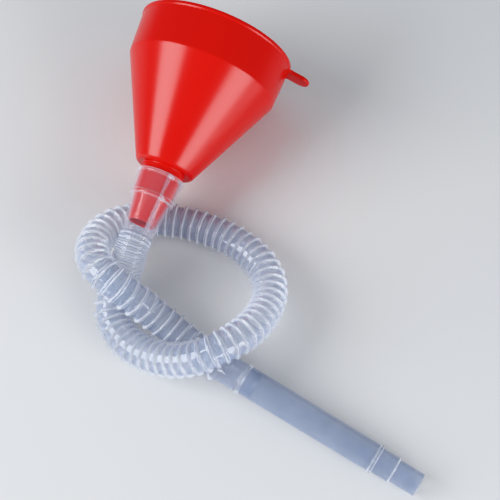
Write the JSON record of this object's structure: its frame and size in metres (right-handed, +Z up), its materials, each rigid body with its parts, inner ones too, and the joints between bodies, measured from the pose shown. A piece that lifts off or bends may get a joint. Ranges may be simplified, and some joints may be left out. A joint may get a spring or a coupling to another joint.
{
  "type": "fuel funnel with flexible hose",
  "caption": "Wide round funnel lying on its side, its neck pushed into a flexible ribbed clear hose that is loosely knotted and ends in a straight pouring nozzle.",
  "frame": {"origin": "on the surface that the object lies on, under the middle of the funnel's own box, without the hose", "axes": "+Z up; the funnel lies on its side with its mouth towards +Y and its neck towards -Y, 7 degrees down"},
  "size_m": [0.3467, 0.3009, 0.1334],
  "materials": {
    "red_plastic": "glossy moulded polyethylene",
    "strainer_plastic": "satin moulded plastic",
    "steel_wire": "woven wire",
    "clear_plastic": "clear blow-moulded plastic",
    "clear_hose_plastic": "milky clear ribbed blow-moulded plastic"
  },
  "bodies": {
    "hose_assembly": {"hose_cuff": "clear_plastic", "hose": "clear_hose_plastic", "nozzle_tube": "clear_plastic"},
    "bowl": {"funnel_bowl": "red_plastic"},
    "strainer": {"strainer_ring": "strainer_plastic", "strainer_gauze": "steel_wire"}
  },
  "joints": [
    {"name": "bowl_pull_off", "type": "slide", "parent": "hose_assembly", "child": "bowl", "axis": [0, 0.9923, 0.1236], "range_m": [0, 0.05]},
    {"name": "strainer_lift_out", "type": "slide", "parent": "bowl", "child": "strainer", "axis": [0, 0.9923, 0.1236], "range_m": [0, 0.14]}
  ]
}
